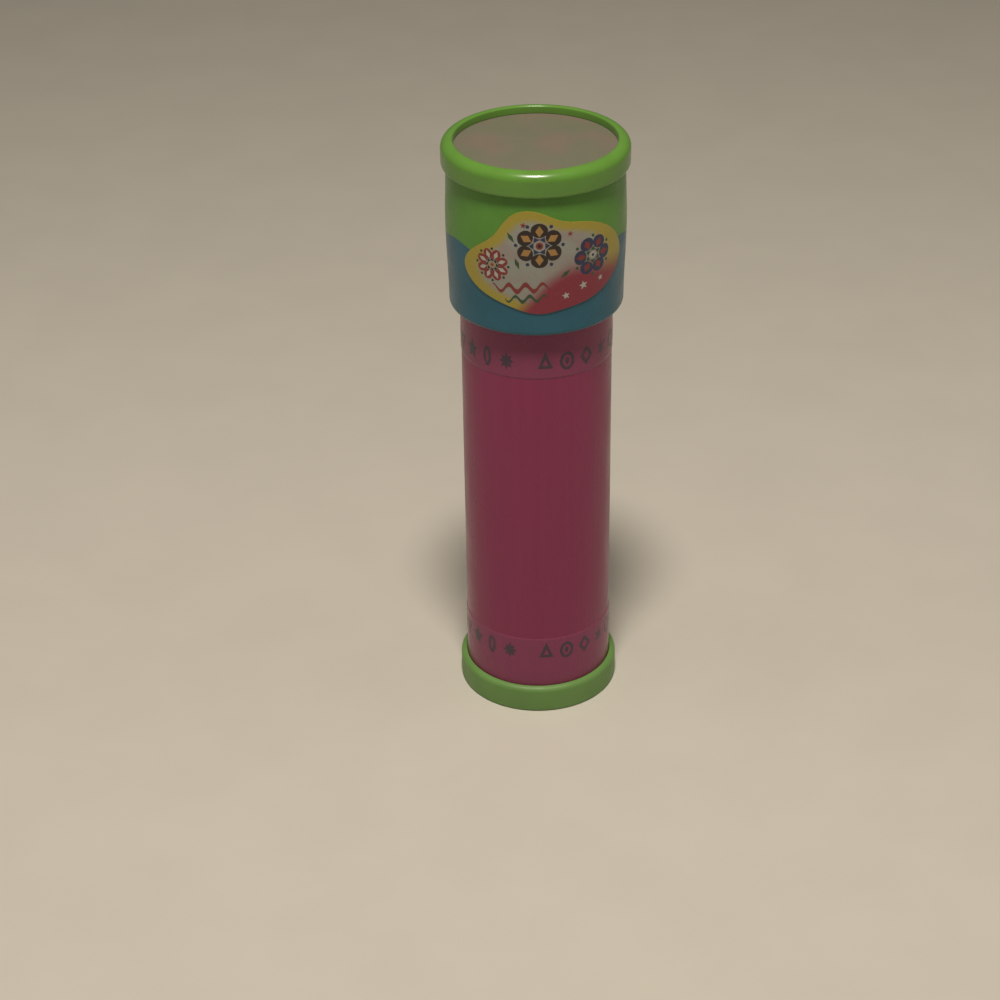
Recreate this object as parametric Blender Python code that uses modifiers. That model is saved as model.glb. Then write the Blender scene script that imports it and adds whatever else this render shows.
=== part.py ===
"""Toy kaleidoscope that stands on its eyepiece end, with a head that turns on the barrel.

Metres, +Z up. The origin is on the floor, at the middle of the eyepiece cap, and the barrel's axis is Z.
The front of the toy, with the picture sticker, faces -Y.
"""

import math

import bmesh
import bpy

# Fits
SEAT_GAP = 0.0003
RUNNING_GAP = 0.0003
FILM_GAP = 0.00025
CUT_OVERRUN = 0.004
WELD_DISTANCE = 0.00001

# Fineness
TURN_STEPS = 64
INNER_STEPS = 40
CORNER_STEPS = 3
CROWN_STEPS = 7
STICKER_POINTS = 96
CHIP_POINTS = 32
BALL_RINGS = 8
BEAD_STEPS = 20
SMOOTH_ANGLE = math.radians(35)

# Barrel
BARREL_RADIUS = 0.01995
BARREL_WALL = 0.0018
BARREL_LENGTH = 0.1433
BARREL_CHAMFER = 0.0003
NECK_WALL = 0.0012
NECK_LENGTH = 0.0200

# Printed films round the barrel
BAND_THICKNESS = 0.00015
LOWER_BAND_SHOWN = 0.0155
LOWER_BAND_TUCK = 0.0024
UPPER_BAND_SHOWN = 0.0138
UPPER_BAND_TUCK = 0.0040

# Eyepiece cap
CAP_HEIGHT = 0.0076
CAP_WALL = 0.0015
CAP_PLATE = 0.0016
CAP_DISH = 0.0008
CAP_FOOT_WIDTH = 0.0042
CAP_EDGE_RADIUS = 0.0009
PEEPHOLE_RADIUS = 0.0050
PEEPHOLE_EDGE_RADIUS = 0.0006
BOSS_WALL = 0.0016
BOSS_HEIGHT = 0.0026

# Eyepiece window
EYE_WINDOW_THICKNESS = 0.0010
EYE_WINDOW_LAP = 0.0012

# Mirrors and what holds them
MIRROR_THICKNESS = 0.0016
MIRROR_ARRIS = 0.0002
VIEW_MARGIN = 0.0005
HOLDER_PLATE = 0.0015
HOLDER_LUG = 0.0039
HOLDER_SKIRT_WALL = 0.0010
COLLAR_PLUG = 0.0050
COLLAR_FLANGE = 0.0022
COLLAR_GRIP = 0.0010
COLLAR_CHAMFER = 0.0004

# Head shell
HEAD_SKIRT = 0.0282
COLLAR_WALL = 0.00155
SKIRT_WALL = 0.0012
LIP_THICKNESS = 0.0014
RIB_THICKNESS = 0.0016
HEAD_PLAY = 0.0006
LEDGE_WIDTH = 0.00065

# Printed sleeve round the head shell
SLEEVE_THICKNESS = 0.00025
SLEEVE_CORNER_RADIUS = 0.0012

# Picture sticker
STICKER_THICKNESS = 0.0002
STICKER_WIDTH = 0.0336
STICKER_HEIGHT = 0.0304
STICKER_RISE = 0.0199
STICKER_SHIFT = 0.0018

# Object cell
CELL_WINDOW_THICKNESS = 0.0012
CELL_HEIGHT = 0.00835
CELL_RING_WALL = 0.0013
DIFFUSER_THICKNESS = 0.0012

# Rim bezel
BEZEL_OVERHANG = 0.0012
BEZEL_SEAT = 0.0015
BEZEL_RISE = 0.00185
BEZEL_SKIRT = 0.00475
BEZEL_EDGE_RADIUS = 0.0005
BEZEL_CROWN_WIDTH_SHARE = 0.83
BEZEL_CROWN_HEIGHT_SHARE = 0.36

# Loose pieces in the cell
CHIP_RADIUS = 0.0031
CHIP_THICKNESS = 0.0016
BALL_RADIUS = 0.0021
RING_BEAD_RADIUS = 0.0023
RING_BEAD_TUBE = 0.0009
SEQUIN_RADIUS = 0.0029
SEQUIN_HOLE = 0.0006
SEQUIN_THICKNESS = 0.0009
TUBE_BEAD_LENGTH = 0.0062
TUBE_BEAD_RADIUS = 0.0013
TUBE_BEAD_HOLE = 0.0005

# Radii worked out from the sizes above
bore_radius = BARREL_RADIUS - BARREL_WALL
groove_radius = BARREL_RADIUS - FILM_GAP
band_radius = BARREL_RADIUS + BAND_THICKNESS
neck_radius = bore_radius + NECK_WALL
cap_bore = band_radius + SEAT_GAP
cap_radius = cap_bore + CAP_WALL
plug_radius = bore_radius - SEAT_GAP
rib_radius = neck_radius + RUNNING_GAP
flange_radius = rib_radius + COLLAR_GRIP
flange_bore = flange_radius + RUNNING_GAP
shell_radius = flange_bore + COLLAR_WALL
skirt_bore = shell_radius - SKIRT_WALL
lip_bore = band_radius + RUNNING_GAP
cell_bore = flange_bore + LEDGE_WIDTH
cell_radius = cell_bore - SEAT_GAP
cell_free_radius = cell_radius - CELL_RING_WALL
sleeve_bore = shell_radius + SEAT_GAP
sleeve_radius = sleeve_bore + SLEEVE_THICKNESS
sticker_bore = sleeve_radius + FILM_GAP
sticker_radius = sticker_bore + STICKER_THICKNESS
bezel_radius = sleeve_radius + BEZEL_OVERHANG
bezel_bore = shell_radius + SEAT_GAP
diffuser_radius = shell_radius
bezel_opening = diffuser_radius - BEZEL_SEAT

# Heights worked out from the sizes above, from the floor up
plate_top = CAP_DISH + CAP_PLATE
boss_top = plate_top + BOSS_HEIGHT
eye_window_bottom = boss_top + SEAT_GAP
holder_bottom = plate_top + SEAT_GAP
holder_plate_bottom = eye_window_bottom + EYE_WINDOW_THICKNESS + SEAT_GAP
holder_plate_top = holder_plate_bottom + HOLDER_PLATE
holder_top = holder_plate_top + HOLDER_LUG
barrel_bottom = plate_top + SEAT_GAP
barrel_top = barrel_bottom + BARREL_LENGTH
neck_bottom = barrel_top - NECK_LENGTH
mirror_bottom = holder_plate_top + SEAT_GAP
mirror_top = barrel_top
flange_bottom = barrel_top + SEAT_GAP
flange_top = flange_bottom + COLLAR_FLANGE
plug_bottom = flange_bottom - COLLAR_PLUG
rib_top = flange_bottom - RUNNING_GAP
rib_bottom = rib_top - RIB_THICKNESS
ledge_top = flange_top + HEAD_PLAY
cell_window_bottom = ledge_top + SEAT_GAP
cell_window_top = cell_window_bottom + CELL_WINDOW_THICKNESS
cell_ring_bottom = cell_window_top + SEAT_GAP
cell_ring_top = cell_ring_bottom + CELL_HEIGHT
shell_top = cell_ring_top
diffuser_bottom = cell_ring_top + SEAT_GAP
diffuser_top = diffuser_bottom + DIFFUSER_THICKNESS
bezel_seat_height = diffuser_top + SEAT_GAP
bezel_top = bezel_seat_height + BEZEL_RISE
bezel_bottom = bezel_seat_height - BEZEL_SKIRT
sleeve_bottom = rib_top - HEAD_SKIRT
sleeve_corner_height = sleeve_bottom + SLEEVE_CORNER_RADIUS
sleeve_corner_centre = sleeve_radius - SLEEVE_CORNER_RADIUS
sleeve_top = bezel_bottom - SEAT_GAP
shell_corner_radius = shell_radius - sleeve_corner_centre
shell_bottom = sleeve_corner_height - shell_corner_radius
lip_top = shell_bottom + LIP_THICKNESS
lower_band_bottom = CAP_HEIGHT - LOWER_BAND_TUCK
lower_band_top = CAP_HEIGHT + LOWER_BAND_SHOWN
upper_band_bottom = sleeve_bottom - UPPER_BAND_SHOWN
upper_band_top = sleeve_bottom + UPPER_BAND_TUCK
loose_floor = cell_window_top + SEAT_GAP

# The mirror strips form a triangle whose outer corners just clear the bore. Half a strip is as wide as
# the distance from the axis to its face times root three, less the gap that it keeps to the next one.
root_three = math.sqrt(3)
quadratic = 1 + root_three ** 2
linear = 2 * MIRROR_THICKNESS - 2 * root_three * SEAT_GAP
constant = MIRROR_THICKNESS ** 2 + SEAT_GAP ** 2 - plug_radius ** 2
mirror_distance = (math.sqrt(linear ** 2 - 4 * quadratic * constant) - linear) / (2 * quadratic)
mirror_half_width = root_three * mirror_distance - SEAT_GAP
view_distance = mirror_distance - VIEW_MARGIN
lug_distance = mirror_distance + MIRROR_THICKNESS + SEAT_GAP
eye_window_radius = view_distance + EYE_WINDOW_LAP


def clear_scene():
    for obj in list(bpy.data.objects):
        bpy.data.objects.remove(obj)


def new_collection(name):
    collection = bpy.data.collections.new(name)
    bpy.context.scene.collection.children.link(collection)
    return collection


def finish(name, colour, roughness, metallic=0.0, alpha=1.0):
    """A plain material for one kind of piece."""
    material = bpy.data.materials.new(name)
    material.use_nodes = True
    shader = material.node_tree.nodes["Principled BSDF"]
    shader.inputs["Base Color"].default_value = (*colour, 1.0)
    shader.inputs["Roughness"].default_value = roughness
    shader.inputs["Metallic"].default_value = metallic
    shader.inputs["Alpha"].default_value = alpha
    material.diffuse_color = (*colour, alpha)
    return material


def place(obj, collection, parent=None):
    collection.objects.link(obj)
    obj.parent = parent
    return obj


def settle(obj):
    """Makes the object's modifiers into its mesh, and shades it smooth except across sharp edges."""
    bpy.context.view_layer.update()
    evaluated = obj.evaluated_get(bpy.context.evaluated_depsgraph_get())
    mesh = bpy.data.meshes.new_from_object(evaluated)
    obj.modifiers.clear()
    obj.data = mesh
    mesh.shade_smooth()
    mesh.set_sharp_from_angle(angle=SMOOTH_ANGLE)
    return obj


def turned(name, profile, steps, material, collection, parent=None):
    """A piece turned about Z. Its profile of (radius, height) points starts at the top of the outer side
    and runs down it. A profile that doesn't end on the axis is closed back to its start."""
    outline = bmesh.new()
    points = [outline.verts.new((radius, 0, height)) for radius, height in profile]
    for above, below in zip(points, points[1:]):
        outline.edges.new((above, below))
    if profile[-1][0] > 0:
        outline.edges.new((points[-1], points[0]))
    mesh = bpy.data.meshes.new(name)
    outline.to_mesh(mesh)
    outline.free()
    mesh.materials.append(material)
    obj = place(bpy.data.objects.new(name, mesh), collection, parent)
    screw = obj.modifiers.new("Turn", "SCREW")
    screw.axis = "Z"
    screw.angle = 2 * math.pi
    screw.steps = steps
    screw.render_steps = steps
    screw.use_merge_vertices = True
    screw.merge_threshold = WELD_DISTANCE
    return settle(obj)


def arc(centre_radius, centre_height, width, height, start, end, steps):
    """Points of an elliptical corner, from one angle in degrees to another."""
    angles = [math.radians(start + (end - start) * step / steps) for step in range(steps + 1)]
    return [(centre_radius + width * math.cos(a), centre_height + height * math.sin(a)) for a in angles]


def round_corner(centre_radius, centre_height, radius, start, end):
    return arc(centre_radius, centre_height, radius, radius, start, end, CORNER_STEPS)


def disc(name, radius, bottom, thickness, steps, material, collection, parent=None):
    top = bottom + thickness
    profile = [(0, top), (radius, top), (radius, bottom), (0, bottom)]
    return turned(name, profile, steps, material, collection, parent)


def triangle_cutter(name, distance, bottom, top, collection):
    """A triangular prism on the Z axis whose flat sides lie at the given distance, one facing -Y."""
    prism = bmesh.new()
    bmesh.ops.create_cone(
        prism, cap_ends=True, segments=3, radius1=2 * distance, radius2=2 * distance, depth=top - bottom
    )
    mesh = bpy.data.meshes.new(name)
    prism.to_mesh(mesh)
    prism.free()
    cutter = place(bpy.data.objects.new(name, mesh), collection)
    cutter.location = (0, 0, (top + bottom) / 2)
    cutter.hide_render = True
    cutter.display_type = "WIRE"
    return cutter


def cut(obj, cutter):
    boolean = obj.modifiers.new(cutter.name, "BOOLEAN")
    boolean.operation = "DIFFERENCE"
    boolean.solver = "EXACT"
    boolean.object = cutter


def eyepiece_cap(material, collection):
    """The cap that the toy stands on. Its plate is dished underneath, so only its foot ring touches the
    floor, and a boss round the peephole carries the eyepiece window."""
    edge = CAP_EDGE_RADIUS
    hole_edge = PEEPHOLE_EDGE_RADIUS
    boss_radius = PEEPHOLE_RADIUS + BOSS_WALL
    foot_bore = cap_radius - CAP_FOOT_WIDTH
    profile = round_corner(cap_radius - edge, CAP_HEIGHT - edge, edge, 90, 0)
    profile += round_corner(cap_radius - edge, edge, edge, 0, -90)
    profile += [(foot_bore, 0), (foot_bore - CAP_DISH, CAP_DISH)]
    profile += round_corner(PEEPHOLE_RADIUS + hole_edge, CAP_DISH + hole_edge, hole_edge, -90, -180)
    profile += [(PEEPHOLE_RADIUS, boss_top), (boss_radius, boss_top), (boss_radius, plate_top)]
    profile += [(cap_bore, plate_top), (cap_bore, CAP_HEIGHT)]
    return turned("eyepiece_cap", profile, TURN_STEPS, material, collection)


def barrel_tube(material, collection):
    """The straight tube, with a shallow groove under each printed film and a neck inside the head."""
    shoulder = BARREL_RADIUS - neck_radius
    chamfer = BARREL_CHAMFER
    film_clear = FILM_GAP
    profile = [(neck_radius - chamfer, barrel_top), (neck_radius, barrel_top - chamfer)]
    profile += [(neck_radius, neck_bottom + shoulder), (BARREL_RADIUS, neck_bottom)]
    for top, bottom in ((upper_band_top, upper_band_bottom), (lower_band_top, lower_band_bottom)):
        profile += [(BARREL_RADIUS, top + film_clear), (groove_radius, top + film_clear)]
        profile += [(groove_radius, bottom - film_clear), (BARREL_RADIUS, bottom - film_clear)]
    profile += [(BARREL_RADIUS, barrel_bottom + chamfer), (BARREL_RADIUS - chamfer, barrel_bottom)]
    profile += [(bore_radius, barrel_bottom), (bore_radius, barrel_top)]
    return turned("barrel_tube", profile, TURN_STEPS, material, collection)


def film_band(name, bottom, top, material, collection):
    profile = [(band_radius, top), (band_radius, bottom), (BARREL_RADIUS, bottom), (BARREL_RADIUS, top)]
    return turned(name, profile, TURN_STEPS, material, collection)


def mirror_strip(name, turn, material, collection):
    """One long strip, its face towards the axis, turned about Z by the given angle from the front."""
    block = bmesh.new()
    bmesh.ops.create_cube(block, size=1)
    length = mirror_top - mirror_bottom
    bmesh.ops.scale(block, vec=(2 * mirror_half_width, MIRROR_THICKNESS, length), verts=block.verts)
    middle = (0, -mirror_distance - MIRROR_THICKNESS / 2, mirror_bottom + length / 2)
    bmesh.ops.translate(block, vec=middle, verts=block.verts)
    mesh = bpy.data.meshes.new(name)
    block.to_mesh(mesh)
    block.free()
    mesh.materials.append(material)
    strip = place(bpy.data.objects.new(name, mesh), collection)
    strip.rotation_euler = (0, 0, math.radians(turn))
    arris = strip.modifiers.new("Arris", "BEVEL")
    arris.width = MIRROR_ARRIS
    arris.segments = 1
    return strip


def lower_mirror_holder(material, collection, cutters):
    """A ring on a skirt. Its plate has a triangular sight hole, and three lugs stand behind the strips."""
    skirt_bore = plug_radius - HOLDER_SKIRT_WALL
    profile = [(0, holder_top), (plug_radius, holder_top), (plug_radius, holder_bottom)]
    profile += [(skirt_bore, holder_bottom), (skirt_bore, holder_plate_bottom), (0, holder_plate_bottom)]
    holder = turned("lower_mirror_holder", profile, INNER_STEPS, material, collection)
    above = holder_top + CUT_OVERRUN
    below = holder_plate_bottom - CUT_OVERRUN
    cut(holder, triangle_cutter("lower_sight_cutter", view_distance, below, above, cutters))
    cut(holder, triangle_cutter("lower_lug_cutter", lug_distance, holder_plate_top, above, cutters))
    return settle(holder)


def swivel_collar(material, collection, cutters):
    """Plugs into the barrel's top end and holds the strips there. Its flange keeps the head on."""
    chamfer = COLLAR_CHAMFER
    profile = [(0, flange_top), (flange_radius - chamfer, flange_top)]
    profile += [(flange_radius, flange_top - chamfer), (flange_radius, flange_bottom)]
    profile += [(plug_radius, flange_bottom), (plug_radius, plug_bottom), (0, plug_bottom)]
    collar = turned("swivel_collar", profile, TURN_STEPS, material, collection)
    above = flange_top + CUT_OVERRUN
    below = plug_bottom - CUT_OVERRUN
    cut(collar, triangle_cutter("upper_sight_cutter", view_distance, below, above, cutters))
    cut(collar, triangle_cutter("upper_lug_cutter", lug_distance, below, flange_bottom, cutters))
    return settle(collar)


def head_shell(material, collection, parent):
    """The head's body: a lip round the barrel, a rib under the collar's flange, and a ledge for the cell.
    The frosted disc lies on its upper end."""
    rib_slope = skirt_bore - rib_radius
    lip_slope = skirt_bore - lip_bore
    profile = [(shell_radius, shell_top)]
    profile += round_corner(sleeve_corner_centre, sleeve_corner_height, shell_corner_radius, 0, -90)
    profile += [(lip_bore, shell_bottom), (lip_bore, lip_top), (skirt_bore, lip_top + lip_slope)]
    profile += [(skirt_bore, rib_bottom - rib_slope), (rib_radius, rib_bottom), (rib_radius, rib_top)]
    profile += [(flange_bore, rib_top), (flange_bore, ledge_top), (cell_bore, ledge_top)]
    profile += [(cell_bore, shell_top)]
    return turned("head_shell", profile, TURN_STEPS, material, collection, parent)


def head_sleeve(material, collection, parent):
    """The thin printed sleeve, drawn in under the shell's rounded lower corner."""
    inner_corner = SLEEVE_CORNER_RADIUS - SLEEVE_THICKNESS
    profile = [(sleeve_radius, sleeve_top)]
    profile += round_corner(sleeve_corner_centre, sleeve_corner_height, SLEEVE_CORNER_RADIUS, 0, -90)
    profile += round_corner(sleeve_corner_centre, sleeve_corner_height, inner_corner, -90, 0)
    profile += [(sleeve_bore, sleeve_top)]
    return turned("head_sleeve", profile, TURN_STEPS, material, collection, parent)


def sticker_outline():
    """The die-cut outline, seen from the front: an oval with uneven lobes like a cloud's. Each row holds
    how many lobes run round it, how far they stand out as a share, and their turn in degrees."""
    lobe_shares = ((2, 0.13, 0), (3, 0.055, -65), (4, 0.05, 60), (5, 0.045, -150))
    points = []
    for step in range(STICKER_POINTS):
        angle = 2 * math.pi * step / STICKER_POINTS
        reach = 1
        for lobes, share, turn in lobe_shares:
            reach += share * math.cos(lobes * angle - math.radians(turn))
        x = reach * math.cos(angle) * STICKER_WIDTH / 2
        z = reach * math.sin(angle) * STICKER_HEIGHT / 2
        points.append((x, z))
    return points


def flat_curve(name, outline, thickness):
    """A flat outline in the XY plane as a filled curve of the given thickness."""
    curve = bpy.data.curves.new(name, "CURVE")
    curve.dimensions = "2D"
    curve.fill_mode = "BOTH"
    curve.extrude = thickness / 2
    spline = curve.splines.new("POLY")
    spline.points.add(len(outline) - 1)
    for point, (x, y) in zip(spline.points, outline):
        point.co = (x, y, 0, 1)
    spline.use_cyclic_u = True
    return curve


def picture_sticker(material, collection, cutters, parent):
    """A thin band round the sleeve, kept only where the die-cut outline, seen from the front, covers it."""
    height = sleeve_bottom + STICKER_RISE
    reach = STICKER_HEIGHT
    profile = [(sticker_radius, height + reach), (sticker_radius, height - reach)]
    profile += [(sticker_bore, height - reach), (sticker_bore, height + reach)]
    sticker = turned("picture_sticker", profile, TURN_STEPS, material, collection, parent)
    curve = flat_curve("sticker_outline", sticker_outline(), sticker_radius + CUT_OVERRUN)
    drawn = place(bpy.data.objects.new("sticker_outline", curve), cutters)
    drawn.rotation_euler = (math.radians(90), 0, 0)
    drawn.location = (STICKER_SHIFT, -(sticker_radius + CUT_OVERRUN) / 2, height)
    bpy.context.view_layer.update()
    evaluated = drawn.evaluated_get(bpy.context.evaluated_depsgraph_get())
    mesh = bpy.data.meshes.new_from_object(evaluated)
    solid = bmesh.new()
    solid.from_mesh(mesh)
    bmesh.ops.remove_doubles(solid, verts=solid.verts, dist=WELD_DISTANCE)
    solid.to_mesh(mesh)
    solid.free()
    die = place(bpy.data.objects.new("sticker_die", mesh), cutters)
    die.matrix_world = drawn.matrix_world
    die.hide_render = True
    die.display_type = "WIRE"
    bpy.data.objects.remove(drawn)
    keep = sticker.modifiers.new("Die cut", "BOOLEAN")
    keep.operation = "INTERSECT"
    keep.solver = "EXACT"
    keep.object = die
    return settle(sticker)


def cell_ring(material, collection, parent):
    profile = [(cell_radius, cell_ring_top), (cell_radius, cell_ring_bottom)]
    profile += [(cell_free_radius, cell_ring_bottom), (cell_free_radius, cell_ring_top)]
    return turned("cell_ring", profile, INNER_STEPS, material, collection, parent)


def rim_bezel(material, collection, parent):
    """The rolled rim: a lip over the frosted disc, a crown that rounds off all of its outer side, and a
    skirt down outside the shell."""
    edge = BEZEL_EDGE_RADIUS
    crown_width = (bezel_radius - bezel_opening) * BEZEL_CROWN_WIDTH_SHARE
    crown_height = (bezel_top - bezel_bottom) * BEZEL_CROWN_HEIGHT_SHARE
    crown_centre = bezel_radius - crown_width
    profile = arc(crown_centre, bezel_top - crown_height, crown_width, crown_height, 90, 0, CROWN_STEPS)
    profile += round_corner(bezel_radius - edge, bezel_bottom + edge, edge, 0, -90)
    profile += [(bezel_bore, bezel_bottom), (bezel_bore, bezel_seat_height)]
    profile += [(bezel_opening, bezel_seat_height)]
    profile += round_corner(bezel_opening + edge, bezel_top - edge, edge, 180, 90)
    return turned("rim_bezel", profile, TURN_STEPS, material, collection, parent)


def on_circle(radius, degrees):
    angle = math.radians(degrees)
    return (radius * math.cos(angle), radius * math.sin(angle))


def star_outline():
    """Five points."""
    inner_share = 0.48
    radii = [CHIP_RADIUS, CHIP_RADIUS * inner_share] * 5
    return [on_circle(radius, 90 + 36 * step) for step, radius in enumerate(radii)]


def heart_outline():
    """The common heart curve: a cubed sine across, and four cosines whose shares add up to its height."""
    width_share = 0.94
    cosine_shares = (0.76, -0.29, -0.12, -0.06)
    points = []
    for step in range(CHIP_POINTS):
        angle = 2 * math.pi * step / CHIP_POINTS
        across = width_share * math.sin(angle) ** 3
        up = sum(share * math.cos((turns + 1) * angle) for turns, share in enumerate(cosine_shares))
        points.append((-CHIP_RADIUS * across, CHIP_RADIUS * up))
    return points


def flower_outline():
    """Five round petals."""
    petal_share = 0.17
    points = []
    for step in range(CHIP_POINTS):
        angle = 360 * step / CHIP_POINTS
        reach = 1 - petal_share + petal_share * math.cos(math.radians(5 * angle))
        points.append(on_circle(CHIP_RADIUS * reach, angle + 90))
    return points


def polygon_outline(sides, turn, width_share=1.0):
    corners = [on_circle(CHIP_RADIUS, turn + 360 * step / sides) for step in range(sides)]
    return [(x * width_share, y) for x, y in corners]


def crescent_outline():
    """An outer arc from tip to tip, anticlockwise, and an inner one back, about a centre further right."""
    centre_share = 0.42
    tip = 62
    steps = CHIP_POINTS // 2
    outer = [on_circle(CHIP_RADIUS, tip + (360 - 2 * tip) * step / steps) for step in range(steps + 1)]
    tip_x, tip_y = outer[0]
    inner_x = CHIP_RADIUS * centre_share
    inner_radius = math.hypot(tip_x - inner_x, tip_y)
    start = math.degrees(math.atan2(tip_y, tip_x - inner_x))
    angles = [360 - start + (2 * start - 360) * step / steps for step in range(1, steps)]
    inner = [on_circle(inner_radius, angle) for angle in angles]
    return outer + [(x + inner_x, y) for x, y in inner]


def drop_outline():
    """A teardrop with its point at the top."""
    width_share = 0.94
    points = []
    for step in range(CHIP_POINTS):
        angle = 2 * math.pi * step / CHIP_POINTS
        across = math.sin(angle) * math.sin(angle / 2) ** 2
        points.append((-CHIP_RADIUS * width_share * across, CHIP_RADIUS * math.cos(angle)))
    return points


def chip(name, outline, material, collection, parent):
    """A flat coloured chip. Its origin is in its middle, on the way that it slides."""
    curve = flat_curve(name, outline, CHIP_THICKNESS)
    curve.materials.append(material)
    return place(bpy.data.objects.new(name, curve), collection, parent), CHIP_THICKNESS / 2


def ball_bead(name, material, collection, parent):
    ball = bmesh.new()
    bmesh.ops.create_uvsphere(ball, u_segments=2 * BALL_RINGS, v_segments=BALL_RINGS, radius=BALL_RADIUS)
    mesh = bpy.data.meshes.new(name)
    ball.to_mesh(mesh)
    ball.free()
    mesh.materials.append(material)
    mesh.shade_smooth()
    return place(bpy.data.objects.new(name, mesh), collection, parent), BALL_RADIUS


def ring_bead(name, material, collection, parent):
    profile = arc(RING_BEAD_RADIUS, 0, RING_BEAD_TUBE, RING_BEAD_TUBE, 90, -270, BALL_RINGS)[:-1]
    return turned(name, profile, BEAD_STEPS, material, collection, parent), RING_BEAD_TUBE


def sequin(name, material, collection, parent):
    half = SEQUIN_THICKNESS / 2
    profile = [(SEQUIN_RADIUS, half), (SEQUIN_RADIUS, -half), (SEQUIN_HOLE, -half), (SEQUIN_HOLE, half)]
    return turned(name, profile, BEAD_STEPS, material, collection, parent), half


def tube_bead(name, material, collection, parent):
    """A short tube that lies on its side."""
    half = TUBE_BEAD_LENGTH / 2
    profile = [(TUBE_BEAD_RADIUS, half), (TUBE_BEAD_RADIUS, -half)]
    profile += [(TUBE_BEAD_HOLE, -half), (TUBE_BEAD_HOLE, half)]
    bead = turned(name, profile, BEAD_STEPS, material, collection, parent)
    bead.rotation_euler = (math.radians(90), 0, 0)
    return bead, TUBE_BEAD_RADIUS


def loose_pieces(finishes, collection, parent):
    """The coloured bits in the cell. Each row is a piece, the share of the cell's free radius at which
    its middle lies, its bearing from +X and its own turn, both in degrees."""
    outlines = {
        "loose_star": star_outline(),
        "loose_heart": heart_outline(),
        "loose_flower": flower_outline(),
        "loose_triangle": polygon_outline(3, 90),
        "loose_crescent": crescent_outline(),
        "loose_hexagon": polygon_outline(6, 0),
        "loose_drop": drop_outline(),
        "loose_diamond": polygon_outline(4, 90, 0.7),
    }
    shapes = {
        "loose_ball": ball_bead,
        "loose_ring": ring_bead,
        "loose_sequin": sequin,
        "loose_tube": tube_bead,
    }
    place_shares = (
        ("loose_star", 0.74, 8, 20),
        ("loose_ring", 0.72, 52, 0),
        ("loose_heart", 0.70, 94, -35),
        ("loose_tube", 0.74, 138, 62),
        ("loose_hexagon", 0.73, 182, 10),
        ("loose_drop", 0.71, 226, 75),
        ("loose_sequin", 0.74, 270, 0),
        ("loose_crescent", 0.72, 314, 130),
        ("loose_flower", 0.28, 30, 12),
        ("loose_triangle", 0.29, 120, 50),
        ("loose_ball", 0.27, 212, 0),
        ("loose_diamond", 0.29, 300, -40),
    )
    for name, radius_share, bearing, turn in place_shares:
        if name in outlines:
            piece, half_height = chip(name, outlines[name], finishes[name], collection, parent)
        else:
            piece, half_height = shapes[name](name, finishes[name], collection, parent)
        x, y = on_circle(cell_free_radius * radius_share, bearing)
        piece.location = (x, y, loose_floor + half_height)
        piece.rotation_euler.z = math.radians(turn)


clear_scene()
toy = new_collection("kaleidoscope")
tools = new_collection("cutters")

green = finish("green plastic", (0.23, 0.48, 0.09), 0.32)
magenta = finish("magenta plastic", (0.36, 0.045, 0.12), 0.38)
band_film = finish("printed band film", (0.34, 0.07, 0.15), 0.28)
clear = finish("clear plastic", (0.86, 0.90, 0.90), 0.05, alpha=0.35)
frosted = finish("frosted plastic", (0.62, 0.60, 0.55), 0.55, alpha=0.8)
silvered = finish("silvered mirror", (0.85, 0.87, 0.88), 0.04, metallic=1.0)
black = finish("black plastic", (0.03, 0.03, 0.035), 0.5)
white = finish("white plastic", (0.75, 0.74, 0.70), 0.45)
sleeve_print = finish("printed sleeve", (0.07, 0.30, 0.36), 0.3)
sticker_print = finish("sticker paper", (0.78, 0.70, 0.58), 0.3)
loose_colours = {
    "loose_star": (0.80, 0.05, 0.07),
    "loose_ring": (0.85, 0.25, 0.02),
    "loose_heart": (0.82, 0.05, 0.25),
    "loose_tube": (0.05, 0.35, 0.75),
    "loose_hexagon": (0.06, 0.50, 0.16),
    "loose_drop": (0.10, 0.55, 0.45),
    "loose_sequin": (0.75, 0.55, 0.10),
    "loose_crescent": (0.45, 0.10, 0.60),
    "loose_flower": (0.85, 0.30, 0.45),
    "loose_triangle": (0.90, 0.60, 0.05),
    "loose_ball": (0.15, 0.60, 0.70),
    "loose_diamond": (0.75, 0.08, 0.30),
}
loose_finishes = {name: finish(name, colour, 0.12) for name, colour in loose_colours.items()}

eyepiece_cap(green, toy)
disc("eyepiece_window", eye_window_radius, eye_window_bottom, EYE_WINDOW_THICKNESS, INNER_STEPS, clear, toy)
barrel_tube(magenta, toy)
film_band("lower_band", lower_band_bottom, lower_band_top, band_film, toy)
film_band("upper_band", upper_band_bottom, upper_band_top, band_film, toy)
mirror_strip("mirror_front", 0, silvered, toy)
mirror_strip("mirror_right", 120, silvered, toy)
mirror_strip("mirror_left", 240, silvered, toy)
lower_mirror_holder(black, toy, tools)
swivel_collar(black, toy, tools)

head_axis = place(bpy.data.objects.new("head_axis", None), toy)
head_shell(green, toy, head_axis)
head_sleeve(sleeve_print, toy, head_axis)
picture_sticker(sticker_print, toy, tools, head_axis)
disc(
    "cell_window", cell_radius, cell_window_bottom, CELL_WINDOW_THICKNESS, INNER_STEPS, clear, toy, head_axis
)
cell_ring(white, toy, head_axis)
disc(
    "diffuser_disc", diffuser_radius, diffuser_bottom, DIFFUSER_THICKNESS, TURN_STEPS, frosted, toy, head_axis
)
rim_bezel(green, toy, head_axis)
loose_pieces(loose_finishes, toy, head_axis)
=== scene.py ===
import math

import bmesh
import bpy
from mathutils import Matrix, Vector


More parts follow.
